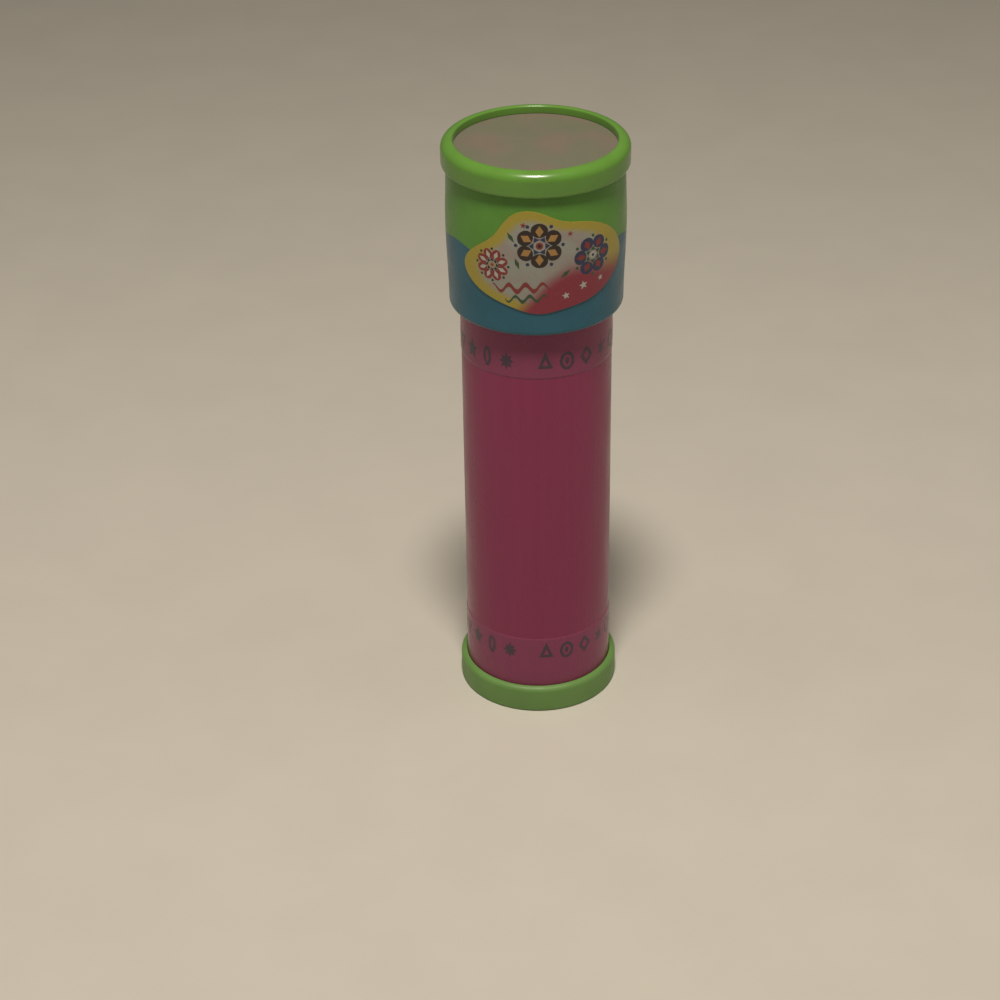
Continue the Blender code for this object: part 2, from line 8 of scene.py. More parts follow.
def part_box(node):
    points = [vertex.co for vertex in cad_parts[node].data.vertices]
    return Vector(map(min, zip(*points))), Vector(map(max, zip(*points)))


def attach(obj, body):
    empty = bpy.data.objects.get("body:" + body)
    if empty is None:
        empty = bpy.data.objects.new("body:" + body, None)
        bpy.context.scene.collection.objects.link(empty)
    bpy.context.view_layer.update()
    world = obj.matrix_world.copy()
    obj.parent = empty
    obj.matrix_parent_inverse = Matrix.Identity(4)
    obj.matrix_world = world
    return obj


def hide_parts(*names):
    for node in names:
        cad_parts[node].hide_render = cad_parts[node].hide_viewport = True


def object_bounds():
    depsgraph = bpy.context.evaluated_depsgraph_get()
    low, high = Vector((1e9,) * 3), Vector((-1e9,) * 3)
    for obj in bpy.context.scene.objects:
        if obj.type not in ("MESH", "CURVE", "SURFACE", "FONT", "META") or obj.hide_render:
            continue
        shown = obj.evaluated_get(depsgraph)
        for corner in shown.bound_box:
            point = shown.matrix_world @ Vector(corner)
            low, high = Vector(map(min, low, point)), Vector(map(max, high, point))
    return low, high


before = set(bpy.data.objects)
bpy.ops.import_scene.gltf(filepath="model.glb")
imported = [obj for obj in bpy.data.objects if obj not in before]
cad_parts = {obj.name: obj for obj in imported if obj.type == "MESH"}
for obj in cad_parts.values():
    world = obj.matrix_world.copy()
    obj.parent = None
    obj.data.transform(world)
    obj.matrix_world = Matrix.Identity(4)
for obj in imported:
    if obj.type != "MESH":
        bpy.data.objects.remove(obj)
cad_low, cad_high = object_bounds()
scene = bpy.context.scene

# The view. A long lens looks down at the toy from 31 degrees, rolled by less than a degree, from about
# 0.65 m away. The picture is a dim warm one, so its colours go to the screen unchanged.
camera_place = (-0.01032, -0.56742, 0.39638)
camera_pitch = 59.04
camera_roll = -0.84
camera_data = bpy.data.cameras.new("camera")
camera_data.sensor_width = 36
camera_data.lens = 86.4
camera_data.clip_start = 0.01
camera = bpy.data.objects.new("camera", camera_data)
camera.location = camera_place
camera.rotation_mode = "ZYX"
camera.rotation_euler = (math.radians(camera_pitch), 0, math.radians(camera_roll))
scene.collection.objects.link(camera)
scene.camera = camera
scene.view_settings.view_transform = "Standard"


# The studio. A plain pale floor under one soft lamp, which hangs nearly overhead and a little in front,
# with two weak wide lamps at the sides and a faint warm light from all round.
def add_node(material, kind, sockets=None, **settings):
    """A shader node. Sockets go by name or number, and take a value or another node's output."""
    node = material.node_tree.nodes.new(kind)
    for setting, value in settings.items():
        setattr(node, setting, value)
    for socket, value in (sockets or {}).items():
        if isinstance(value, bpy.types.NodeSocket):
            material.node_tree.links.new(value, node.inputs[socket])
        else:
            node.inputs[socket].default_value = value
    return node


def calc(material, operation, first, second=0.0, third=0.0):
    sockets = {0: first, 1: second, 2: third}
    return add_node(material, "ShaderNodeMath", sockets, operation=operation).outputs[0]


def spread(material, value, low, high, start=0.0, end=1.0):
    """Maps a value from low..high to start..end, with soft ends."""
    sockets = {"Value": value, "From Min": low, "From Max": high, "To Min": start, "To Max": end}
    return add_node(material, "ShaderNodeMapRange", sockets, interpolation_type="SMOOTHSTEP").outputs[0]


def mixed(material, factor, first, second):
    """A colour between two colours. Each may be a colour or a node's output."""
    pair = [value if isinstance(value, bpy.types.NodeSocket) else (*value, 1.0) for value in (first, second)]
    sockets = {0: factor, 6: pair[0], 7: pair[1]}
    return add_node(material, "ShaderNodeMix", sockets, data_type="RGBA").outputs[2]


def place_on(material, stretch=(1, 1, 1)):
    """The surface's own coordinates in metres, which a stretch squeezes along an axis."""
    source = add_node(material, "ShaderNodeTexCoord").outputs["Object"]
    return add_node(material, "ShaderNodeMapping", {"Vector": source, "Scale": stretch}).outputs[0]


def noise(material, grain, stretch=(1, 1, 1), detail=2.0):
    """Noise whose blotches are about as wide as the grain, in metres."""
    sockets = {"Vector": place_on(material, stretch), "Scale": 1 / grain, "Detail": detail}
    return add_node(material, "ShaderNodeTexNoise", sockets).outputs[0]


def tones(colour, low, high):
    """A darker and a lighter tone of a colour, as shares of it."""
    return [[channel * share for channel in colour] for share in (low, high)]


def new_material(name, roughness, metallic=0.0, coat=0.0, transmission=0.0, ior=1.5):
    """A material and its shader, with the values that are the same all over the surface."""
    material = bpy.data.materials.new(name)
    material.use_nodes = True
    shader = material.node_tree.nodes["Principled BSDF"]
    shader.inputs["Roughness"].default_value = roughness
    shader.inputs["Metallic"].default_value = metallic
    shader.inputs["Coat Weight"].default_value = coat
    shader.inputs["Transmission Weight"].default_value = transmission
    shader.inputs["IOR"].default_value = ior
    return material, shader


def colour_surface(material, shader, colour):
    material.node_tree.links.new(colour, shader.inputs["Base Color"])


def bump_surface(material, shader, height, depth):
    """Bumps whose height runs from 0 to the depth, in metres."""
    sockets = {"Height": height, "Distance": depth, "Strength": 1.0}
    bumps = add_node(material, "ShaderNodeBump", sockets)
    material.node_tree.links.new(bumps.outputs["Normal"], shader.inputs["Normal"])


def vary_roughness(material, shader, factor, smooth, rough):
    roughness = spread(material, factor, 0.3, 0.7, smooth, rough)
    material.node_tree.links.new(roughness, shader.inputs["Roughness"])


def set_piece(shape, name, material, smooth_angle=30):
    """Makes an object of a finished bmesh, with smooth faces except across sharp edges."""
    mesh = bpy.data.meshes.new(name)
    shape.to_mesh(mesh)
    shape.free()
    mesh.materials.append(material)
    mesh.shade_smooth()
    mesh.set_sharp_from_angle(angle=math.radians(smooth_angle))
    piece = bpy.data.objects.new(name, mesh)
    scene.collection.objects.link(piece)
    return piece


floor_reach = 1.6
floor_colour = (0.60, 0.565, 0.485)
floor_material, floor_shader = new_material("pale_floor", 0.75)
floor_mottle = spread(floor_material, noise(floor_material, 0.03, detail=4.0), 0.3, 0.7)
darker, lighter = tones(floor_colour, 0.985, 1.015)
colour_surface(floor_material, floor_shader, mixed(floor_material, floor_mottle, darker, lighter))
bump_surface(floor_material, floor_shader, noise(floor_material, 0.0012), 0.00003)
floor_shape = bmesh.new()
bmesh.ops.create_circle(floor_shape, cap_ends=True, segments=96, radius=floor_reach)
floor = set_piece(floor_shape, "floor", floor_material)

lamp_colour = (1.0, 0.92, 0.83)
room_colour = (0.066, 0.062, 0.054, 1.0)
# Each lamp: name, distance in metres, elevation and turn from the front in degrees, width and watts
lamps = (
    ("main_lamp", 0.95, 72, -3, 0.18, 8.6),
    ("left_lamp", 0.60, 22, -86, 0.50, 0.38),
    ("right_lamp", 0.60, 22, 86, 0.50, 0.36),
)
for name, distance, elevation, turn, width, energy in lamps:
    lamp_data = bpy.data.lights.new(name, "AREA")
    lamp_data.shape = "DISK"
    lamp_data.size = width
    lamp_data.energy = energy
    lamp_data.color = lamp_colour
    lamp = bpy.data.objects.new(name, lamp_data)
    tilt, round_z = math.radians(elevation), math.radians(turn)
    out = distance * math.cos(tilt)
    height = cad_high.z / 2 + distance * math.sin(tilt)
    lamp.location = (out * math.sin(round_z), -out * math.cos(round_z), height)
    lamp.rotation_euler = (math.radians(90) - tilt, 0, round_z)
    lamp.visible_glossy = name == "main_lamp"
    scene.collection.objects.link(lamp)

room = bpy.data.worlds.new("room")
room.use_nodes = True
room.node_tree.nodes["Background"].inputs["Color"].default_value = room_colour
scene.world = room


# The eyepiece cap, which the toy stands on. It is one moulding of green plastic, pushed on over the
# barrel's lower end. Its underside is dished, and a rounded peephole goes through its middle.
seat_gap = 0.0003
cap_fit = 0.0001
turn_steps = 192
round_steps = 8
weld = 0.0000005
green_plastic_colour = (0.138, 0.278, 0.068)


def rounded(corners):
    """A profile of (radius, height) points. Each corner is (radius, height, rounding), in metres."""
    points = []
    for index, (radius, height, rounding) in enumerate(corners):
        corner = Vector((radius, height))
        if not rounding:
            points.append(corner)
            continue
        back = (Vector(corners[index - 1][:2]) - corner).normalized()
        ahead = (Vector(corners[(index + 1) % len(corners)][:2]) - corner).normalized()
        half = back.angle(ahead) / 2
        middle = corner + (back + ahead).normalized() * rounding / math.sin(half)
        spoke = corner + back * rounding / math.tan(half) - middle
        turn = math.pi - 2 * half
        if back.cross(ahead) > 0:
            turn = -turn
        for step in range(round_steps + 1):
            points.append(middle + Matrix.Rotation(turn * step / round_steps, 2) @ spoke)
    return points


def turned(profile, closed=True, steps=turn_steps):
    """A shape whose profile is turned once round the Z axis."""
    shape = bmesh.new()
    points = [shape.verts.new((point[0], 0, point[1])) for point in profile]
    for first, second in zip(points, points[1:]):
        shape.edges.new((first, second))
    if closed:
        shape.edges.new((points[-1], points[0]))
    outline = shape.verts[:] + shape.edges[:]
    bmesh.ops.spin(
        shape, geom=outline, cent=(0, 0, 0), axis=(0, 0, 1), angle=2 * math.pi, steps=steps, use_merge=True
    )
    bmesh.ops.remove_doubles(shape, verts=shape.verts, dist=weld)
    bmesh.ops.recalc_face_normals(shape, faces=shape.faces)
    return shape


def moulded_plastic(name, colour, smooth, rough, mottle=0.05, peel=0.000004):
    """Moulded plastic: a slightly uneven pigment, a fine orange peel and hand-worn patches of gloss."""
    material, shader = new_material(name, smooth, ior=1.49)
    clouds = spread(material, noise(material, 0.009, detail=3.0), 0.3, 0.7)
    deep, pale = tones(colour, 1 - mottle, 1 + mottle)
    colour_surface(material, shader, mixed(material, clouds, deep, pale))
    vary_roughness(material, shader, noise(material, 0.006, detail=4.0), smooth, rough)
    bump_surface(material, shader, noise(material, 0.0007, detail=3.0), peel)
    return material


cap_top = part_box("eyepiece_cap")[1].z
cap_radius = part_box("eyepiece_cap")[1].x
cap_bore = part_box("lower_band")[1].x + cap_fit
cap_plate_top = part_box("barrel_tube")[0].z - seat_gap
boss_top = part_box("eyepiece_window")[0].z - seat_gap
cap_dish = 0.0008
cap_foot_width = 0.0042
cap_foot_bore = cap_radius - cap_foot_width
peephole_radius = 0.0050
boss_wall = 0.0016
boss_radius = peephole_radius + boss_wall
groove_radius = 0.0115
groove_half = 0.0009
groove_depth = 0.0003
groove_out, groove_in = groove_radius + groove_half, groove_radius - groove_half
groove_top = cap_dish + groove_depth
cap_corners = [
    (cap_radius, cap_top, 0.0014),
    (cap_radius, 0, 0.0006),
    (cap_foot_bore, 0, 0.0003),
    (cap_foot_bore - cap_dish, cap_dish, 0.0004),
    (groove_out, cap_dish, 0.0001),
    (groove_out - groove_depth, groove_top, 0.0001),
    (groove_in + groove_depth, groove_top, 0.0001),
    (groove_in, cap_dish, 0.0001),
    (peephole_radius, cap_dish, 0.0007),
    (peephole_radius, boss_top, 0.0002),
    (boss_radius, boss_top, 0.0002),
    (boss_radius, cap_plate_top, 0.0003),
    (cap_bore, cap_plate_top, 0.0002),
    (cap_bore, cap_top, 0.0002),
]
green_plastic = moulded_plastic("green_plastic", green_plastic_colour, 0.46, 0.58)
cap = set_piece(turned(rounded(cap_corners)), "eyepiece_cap_moulding", green_plastic)
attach(cap, "body")
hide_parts("eyepiece_cap")


# The eyepiece window: a clear polished disc with softened edges, which lies on the cap's boss and keeps
# fingers and dust off the mirrors.
window_edge = 0.0002


def clear_plastic(name, scuffs):
    """Clear plastic with hairline scuffs, which show only as changes in its gloss."""
    material, shader = new_material(name, 0.03, transmission=1.0, ior=1.49)
    clouds = noise(material, 0.01)
    colour_surface(material, shader, mixed(material, clouds, (0.93, 0.96, 0.95), (0.97, 0.98, 0.98)))
    vary_roughness(material, shader, noise(material, 0.002, (1, 12, 1), 4.0), 0.02, scuffs)
    return material


def disc(node, material, edge, name):
    """A flat disc with rounded edges that stands for a node of the same size."""
    low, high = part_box(node)
    corners = [(0, high.z, 0), (high.x, high.z, edge), (high.x, low.z, edge), (0, low.z, 0)]
    piece = set_piece(turned(rounded(corners), closed=False), name, material)
    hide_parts(node)
    return piece


clear_window = clear_plastic("clear_plastic", 0.12)
eyepiece_window = disc("eyepiece_window", clear_window, window_edge, "eyepiece_lens_disc")
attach(eyepiece_window, "body")


# The barrel: a straight extruded tube of magenta plastic, with a thinner neck inside the head. Drawing
# it has left faint lines along its length.
barrel_low, barrel_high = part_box("barrel_tube")
barrel_radius = barrel_high.x
barrel_wall = 0.0018
neck_wall = 0.0012
neck_length = 0.0200
barrel_bore = barrel_radius - barrel_wall
neck_radius = barrel_bore + neck_wall
neck_bottom = barrel_high.z - neck_length
magenta_colour = (0.262, 0.034, 0.095)


def drawn_plastic(name, colour, smooth, rough, streaks, lines):
    """Extruded plastic: streaks of pigment and fine raised lines along its length."""
    material, shader = new_material(name, smooth, ior=1.36)
    along = spread(material, noise(material, 0.0016, (1, 1, 0.02), 3.0), 0.3, 0.7)
    deep, pale = tones(colour, 1 - streaks, 1 + streaks)
    colour_surface(material, shader, mixed(material, along, deep, pale))
    vary_roughness(material, shader, noise(material, 0.005, (1, 1, 0.3), 4.0), smooth, rough)
    bump_surface(material, shader, noise(material, 0.0009, (1, 1, 0.015), 2.0), lines)
    return material


barrel_corners = [
    (neck_radius, barrel_high.z, 0.0003),
    (neck_radius, neck_bottom + barrel_radius - neck_radius, 0.0002),
    (barrel_radius, neck_bottom, 0.0002),
    (barrel_radius, barrel_low.z, 0.0003),
    (barrel_bore, barrel_low.z, 0.0002),
    (barrel_bore, barrel_high.z, 0.0002),
]
magenta_plastic = drawn_plastic("magenta_plastic", magenta_colour, 0.26, 0.36, 0.025, 0.000003)
barrel = set_piece(turned(rounded(barrel_corners)), "barrel_extrusion", magenta_plastic)
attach(barrel, "body")
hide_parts("barrel_tube")


# The two printed films: a magenta film, slightly milky, goes once round the barrel near each end. Small
# dark signs are printed on each in two rows of ten, one row for each half of the way round. The film's
# ends lap in the gap between the rows at the back.
film_colour = (0.248, 0.048, 0.106)
film_taper = 0.0005
film_edge = 0.00002
lap_turn = 170.6
lap_width = 0.0030
lap_thickness = 0.00004
wrap_pitch = 0.0006
row_pitch = 0.0015


def wrapped(flat, radius, thickness, turn=0.0, height=0.0):
    """Gives a flat design its thickness and lays it round the Z axis: x runs to the right from the front,
    y is the height. Cuts both ways across it first let it follow the curve."""
    for way, pitch in ((Vector((1, 0, 0)), wrap_pitch), (Vector((0, 1, 0)), row_pitch)):
        cuts = int(max(abs(vert.co.dot(way)) for vert in flat.verts) / pitch)
        for step in range(-cuts, cuts + 1):
            everything = flat.verts[:] + flat.edges[:] + flat.faces[:]
            cut = way * pitch * step
            bmesh.ops.bisect_plane(flat, geom=everything, dist=weld, plane_co=cut, plane_no=way)
    raised = bmesh.ops.extrude_face_region(flat, geom=flat.faces[:], use_keep_orig=True)
    top = [item for item in raised["geom"] if isinstance(item, bmesh.types.BMVert)]
    bmesh.ops.translate(flat, vec=(0, 0, thickness), verts=top)
    bmesh.ops.recalc_face_normals(flat, faces=flat.faces)
    for vert in flat.verts:
        angle = vert.co.x / radius + turn
        out = radius + vert.co.z
        vert.co = (out * math.sin(angle), -out * math.cos(angle), vert.co.y + height)
    return flat


def add_shape(flat, corners, width, height, x=0.0, y=0.0, turn=0.0, waist=1.0):
    """Adds a flat polygon whose corners lie on an oval. A waist under 1 draws every second corner in."""
    made = bmesh.ops.create_circle(flat, cap_ends=True, segments=corners, radius=0.5)["verts"]
    bmesh.ops.scale(flat, vec=(waist, waist, 1), verts=made[1::2])
    size = Matrix.Diagonal((width, height, 1, 1))
    seat = Matrix.Translation((x, y, 0)) @ Matrix.Rotation(math.radians(turn), 4, "Z") @ size
    bmesh.ops.transform(flat, matrix=seat, verts=made)
    return made[0].link_faces[0]


def flat_strip(width, height):
    """A flat rectangle round the middle of a design."""
    strip = bmesh.new()
    bmesh.ops.create_grid(strip, x_segments=1, y_segments=1, size=0.5)
    bmesh.ops.scale(strip, vec=(width, height, 1), verts=strip.verts)
    return strip


def add_to(shape, addition):
    """Puts one shape into another, beside what is there."""
    mesh = bpy.data.meshes.new("addition")
    addition.to_mesh(mesh)
    addition.free()
    shape.from_mesh(mesh)
    bpy.data.meshes.remove(mesh)


def printed_film(name, node, material):
    """A film strip round the barrel, with its lap."""
    low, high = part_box(node)
    corners = [
        (high.x, high.z - film_taper, film_taper / 2),
        (high.x, low.z + film_taper, film_taper / 2),
        (barrel_radius + film_edge, low.z, 0),
        (barrel_radius, low.z, 0),
        (barrel_radius, high.z, 0),
        (barrel_radius + film_edge, high.z, 0),
    ]
    film = turned(rounded(corners))
    lap = flat_strip(lap_width, high.z - low.z - 2 * film_taper)
    wrapped(lap, high.x, lap_thickness, math.radians(lap_turn), (high.z + low.z) / 2)
    add_to(film, lap)
    piece = set_piece(film, name, material)
    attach(piece, "body")
    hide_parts(node)
    return piece


band_film = drawn_plastic("band_film", film_colour, 0.24, 0.32, 0.02, 0.000002)
printed_film("lower_printed_film", "lower_band", band_film)
printed_film("upper_printed_film", "upper_band", band_film)

sign_width = 0.0041
sign_height = 0.0056
sign_stroke = 0.0008
dot_space = 0.0007
sign_gap = 0.0062
lower_sign_drop = 0.0045
upper_sign_rise = 0.0048
signs_in_row = 10
rows_round_barrel = 2
first_sign_turn = math.radians(-0.5)
print_thickness = 0.00002
band_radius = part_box("lower_band")[1].x
# Each sign: corners, width and height shares, turn, waist, and True for a dot inside, None for a full one
sign_shares = (
    (3, 1.12, 1.15, 0, 1.0, False),
    (24, 1.0, 0.92, 0, 1.0, True),
    (4, 1.0, 1.0, 0, 1.0, False),
    (12, 1.0, 1.0, 0, 0.30, None),
    (6, 1.05, 1.0, 0, 1.0, False),
    (4, 1.3, 1.3, 45, 1.0, True),
    (3, 1.12, 1.15, 180, 1.0, False),
    (10, 1.1, 1.05, 0, 0.5, None),
    (24, 0.62, 1.0, 0, 1.0, False),
    (16, 1.0, 0.9, 0, 0.55, None),
)


def row_of_signs(flat, left):
    """Lays one row of signs out flat, from the given left end on."""
    pitch = (2 * math.pi * band_radius / rows_round_barrel - sign_gap - sign_width) / (signs_in_row - 1)
    for index, (corners, across, up, turn, waist, dotted) in enumerate(sign_shares):
        middle = left + sign_width / 2 + pitch * index
        face = add_shape(flat, corners, sign_width * across, sign_height * up, middle, 0, turn, waist)
        if dotted is None:
            continue
        bmesh.ops.inset_individual(flat, faces=[face], thickness=sign_stroke, use_even_offset=True)
        if dotted:
            around = bmesh.ops.inset_individual(
                flat, faces=[face], thickness=dot_space, use_even_offset=True
            )
            bmesh.ops.delete(flat, geom=around["faces"], context="FACES_ONLY")
        else:
            bmesh.ops.delete(flat, geom=[face], context="FACES_ONLY")


sign_ink, sign_shader = new_material("sign_ink", 0.35)
worn = spread(sign_ink, noise(sign_ink, 0.0008, detail=4.0), 0.55, 0.75)
colour_surface(sign_ink, sign_shader, mixed(sign_ink, worn, (0.055, 0.030, 0.055), (0.11, 0.04, 0.07)))
bump_surface(sign_ink, sign_shader, noise(sign_ink, 0.0004), 0.000002)
sign_places = (
    ("lower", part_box("lower_band")[1].z - lower_sign_drop),
    ("upper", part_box("upper_band")[0].z + upper_sign_rise),
)
for place, height in sign_places:
    signs = bmesh.new()
    for row in range(rows_round_barrel):
        row_start = first_sign_turn + 2 * math.pi * row / rows_round_barrel
        row_start = (row_start + math.pi) % (2 * math.pi) - math.pi
        row_of_signs(signs, row_start * band_radius)
    wrapped(signs, band_radius, print_thickness, 0.0, height)
    print_piece = set_piece(signs, place + "_band_signs", sign_ink)
    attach(print_piece, "body")


# The three mirror strips: silvered strips with ground edges, in a triangle inside the barrel. They stand in
# the lower holder and under the head's collar, and only glints of them show through the peephole.
mirror_finish, mirror_shader = new_material("mirror_strip", 0.03, metallic=1.0)
haze = spread(mirror_finish, noise(mirror_finish, 0.012, detail=4.0), 0.4, 0.8)
silver = mixed(mirror_finish, haze, (0.86, 0.88, 0.89), (0.78, 0.80, 0.81))
colour_surface(mirror_finish, mirror_shader, silver)
vary_roughness(mirror_finish, mirror_shader, noise(mirror_finish, 0.004, detail=4.0), 0.02, 0.07)
for node in ("mirror_front", "mirror_right", "mirror_left"):
    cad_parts[node].data.materials[0] = mirror_finish


# The mirror holders: two black mouldings with a three-cornered sight hole. The lower one stands in the
# cap, and the upper one plugs into the barrel and keeps the head on with its flange.
black_plastic = moulded_plastic("black_plastic", (0.022, 0.022, 0.025), 0.42, 0.6, 0.15, 0.00001)
for node in ("lower_mirror_holder", "swivel_collar"):
    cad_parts[node].data.materials[0] = black_plastic


# The head's shell: one green moulding that turns on the barrel. A lip at its lower end runs round the
# barrel, a rib inside hooks under the collar's flange, and a ledge carries the object cell. Its wall is
# drawn in towards its foot and swells a little above its middle.
shell_low, shell_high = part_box("head_shell")
shell_radius = shell_high.x
wall_draw = 0.00024
wall_swell = 0.00034
fullest_share = 0.6
wall_steps = 24
lip_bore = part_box("upper_band")[1].x + seat_gap
lip_height = 0.0014
skirt_wall = 0.0012
rib_height = 0.0016
lip_top = shell_low.z + lip_height
skirt_bore = shell_radius - skirt_wall
rib_bore = neck_radius + seat_gap
flange_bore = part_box("swivel_collar")[1].x + seat_gap
cell_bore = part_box("cell_ring")[1].x + seat_gap
rib_top = barrel_high.z
rib_bottom = rib_top - rib_height
ledge_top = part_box("cell_window")[0].z - seat_gap
wall_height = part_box("rim_bezel")[0].z - shell_low.z


def swell_at(height):
    """How far the head's wall stands out from a straight one at a height."""
    share = min(1.0, (height - shell_low.z) / wall_height)
    if share < fullest_share:
        return (wall_swell + wall_draw) * math.sin(math.pi / 2 * share / fullest_share) ** 2 - wall_draw
    return wall_swell * math.sin(math.pi / 2 * (1 - share) / (1 - fullest_share)) ** 2


def wall(radius, top, foot):
    """The points between the ends of one side of the head's wall, from the top down."""
    heights = [top + (foot - top) * step / wall_steps for step in range(1, wall_steps)]
    return [(radius + swell_at(height), height, 0) for height in heights]


shell_corners = [(shell_radius, shell_high.z, 0.0002)]
shell_corners += wall(shell_radius, shell_high.z, shell_low.z)
shell_corners += [
    (shell_radius - wall_draw, shell_low.z, 0.00065),
    (lip_bore, shell_low.z, 0.0003),
    (lip_bore, lip_top, 0.0002),
    (skirt_bore, lip_top + skirt_bore - lip_bore, 0.0003),
    (skirt_bore, rib_bottom - skirt_bore + rib_bore, 0.0003),
    (rib_bore, rib_bottom, 0.0001),
    (rib_bore, rib_top, 0.0001),
    (flange_bore, rib_top, 0.0001),
    (flange_bore, ledge_top, 0.0001),
    (cell_bore, ledge_top, 0.0001),
    (cell_bore, shell_high.z, 0.0002),
]
shell = set_piece(turned(rounded(shell_corners)), "head_shell_moulding", green_plastic)
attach(shell, "head")
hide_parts("head_shell")


# The head's sleeve: a printed film shrunk on the shell and drawn in round its lower corner. The print is
# green above a wavy line and blue below, and its ends lap at the back.
sleeve_low, sleeve_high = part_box("head_sleeve")
sleeve_radius = sleeve_high.x
sleeve_thickness = 0.00025
sleeve_corner = 0.0012
seam_width = 0.0040
seam_thickness = 0.00008
wave_above_foot = 0.0214
wave_height = sleeve_low.z + wave_above_foot
wave_rise = 0.0011
waves_round_head = 6
wave_softness = 0.00012
sleeve_green = (0.105, 0.280, 0.042)
sleeve_blue = (0.024, 0.120, 0.175)
sleeve_bore = sleeve_radius - sleeve_thickness
sleeve_foot = sleeve_radius - wall_draw
sleeve_inner_low = sleeve_low.z + sleeve_thickness
sleeve_corners = [(sleeve_radius, sleeve_high.z, 0.00008)]
sleeve_corners += wall(sleeve_radius, sleeve_high.z, sleeve_low.z)
sleeve_corners += [
    (sleeve_foot, sleeve_low.z, sleeve_corner),
    (sleeve_foot - sleeve_corner, sleeve_low.z, 0),
    (sleeve_foot - sleeve_corner, sleeve_inner_low, 0),
    (sleeve_foot - sleeve_thickness, sleeve_inner_low, sleeve_corner - sleeve_thickness),
]
sleeve_corners += reversed(wall(sleeve_bore, sleeve_high.z, sleeve_inner_low))
sleeve_corners += [(sleeve_bore, sleeve_high.z, 0)]


def bearing(material, axes):
    """The angle round the Z axis, from 0 at the front, positive to the right."""
    return calc(material, "ARCTAN2", axes[0], calc(material, "MULTIPLY", axes[1], -1.0))


def axes_of(material):
    return add_node(material, "ShaderNodeSeparateXYZ", {0: place_on(material)}).outputs


sleeve_print, sleeve_shader = new_material("sleeve_print", 0.3, ior=1.38)
sleeve_axes = axes_of(sleeve_print)
way_round = calc(sleeve_print, "MULTIPLY", bearing(sleeve_print, sleeve_axes), waves_round_head)
ripple = calc(sleeve_print, "COSINE", way_round)
wave_line = calc(sleeve_print, "MULTIPLY_ADD", ripple, wave_rise, wave_height)
over_wave = calc(sleeve_print, "SUBTRACT", sleeve_axes[2], wave_line)
is_green = spread(sleeve_print, over_wave, -wave_softness, wave_softness)
ink_clouds = spread(sleeve_print, noise(sleeve_print, 0.007, detail=3.0), 0.3, 0.7)
greens = mixed(sleeve_print, ink_clouds, *tones(sleeve_green, 0.95, 1.05))
blues = mixed(sleeve_print, ink_clouds, *tones(sleeve_blue, 0.94, 1.06))
colour_surface(sleeve_print, sleeve_shader, mixed(sleeve_print, is_green, blues, greens))
vary_roughness(sleeve_print, sleeve_shader, noise(sleeve_print, 0.006, detail=4.0), 0.26, 0.36)
bump_surface(sleeve_print, sleeve_shader, noise(sleeve_print, 0.0025, (1, 1, 0.4), 3.0), 0.00002)


def on_sleeve(flat, out, thickness, turn, height):
    """Lays a flat design on the sleeve, or a given way out from it, and lets it follow the swell."""
    wrapped(flat, sleeve_radius + out, thickness, turn, height)
    for vert in flat.verts:
        vert.co.xy *= 1 + swell_at(vert.co.z) / vert.co.xy.length
    return flat


sleeve_shape = turned(rounded(sleeve_corners))
seam = flat_strip(seam_width, sleeve_high.z - sleeve_low.z - 2 * sleeve_corner)
on_sleeve(seam, 0, seam_thickness, math.pi, (sleeve_low.z + sleeve_high.z) / 2)
add_to(sleeve_shape, seam)
sleeve = set_piece(sleeve_shape, "head_printed_sleeve", sleeve_print)
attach(sleeve, "head")
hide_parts("head_sleeve")


# The picture sticker: glossy printed vinyl, cut to a cloud's outline and laid on the sleeve's front. Its
# print is made up: kaleidoscope rosettes, leaves, ribbons and stars on white, yellow and magenta.
sticker_radius = -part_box("picture_sticker")[0].y
sticker_width = 0.0336
sticker_height = 0.0304
sticker_shift = 0.0018
sticker_above_foot = 0.0199
sticker_middle = sleeve_low.z + sticker_above_foot
sticker_steps = 288
vinyl_thickness = 0.0002
ink_thickness = 0.000015
lobe_shares = ((2, 0.13, 0), (3, 0.055, -65), (4, 0.05, 60), (5, 0.045, -150))
sticker_white = (0.29, 0.30, 0.25)
sticker_blush = (0.30, 0.26, 0.23)
sticker_yellow = (0.36, 0.29, 0.035)
sticker_magenta = (0.24, 0.02, 0.04)
halo_start, halo_end = 0.74, 0.90
swoosh_bend, swoosh_shift = 3.2, 0.6
swoosh_rise, swoosh_level = 0.26, -0.28
swoosh_slope = 0.45
swoosh_fade = 0.42


def sticker_edge(angle):
    """How far the die-cut outline reaches at an angle, as a share of the sticker's half size."""
    waves = [share * math.cos(lobes * angle - math.radians(turn)) for lobes, share, turn in lobe_shares]
    return 1 + sum(waves)


def laid_flat(x):
    """The way along the sleeve to a point that lies x to the right when it is seen from the front."""
    return sleeve_radius * math.asin(x / sticker_radius)


vinyl = bmesh.new()
outline = []
for step in range(sticker_steps):
    angle = 2 * math.pi * step / sticker_steps
    reach = sticker_edge(angle)
    x = sticker_shift + reach * math.cos(angle) * sticker_width / 2
    outline.append(vinyl.verts.new((laid_flat(x), reach * math.sin(angle) * sticker_height / 2, 0)))
vinyl.faces.new(outline)
sticker_print, sticker_shader = new_material("sticker_print", 0.25, ior=1.5)
axes = axes_of(sticker_print)
across = calc(sticker_print, "SUBTRACT", axes[0], sticker_shift)
across = calc(sticker_print, "DIVIDE", across, sticker_width / 2)
up = calc(sticker_print, "SUBTRACT", axes[2], sticker_middle)
up = calc(sticker_print, "DIVIDE", up, sticker_height / 2)
angle = calc(sticker_print, "ARCTAN2", up, across)
across_squared = calc(sticker_print, "MULTIPLY", across, across)
squares = calc(sticker_print, "MULTIPLY_ADD", up, up, across_squared)
edge_reach = 1.0
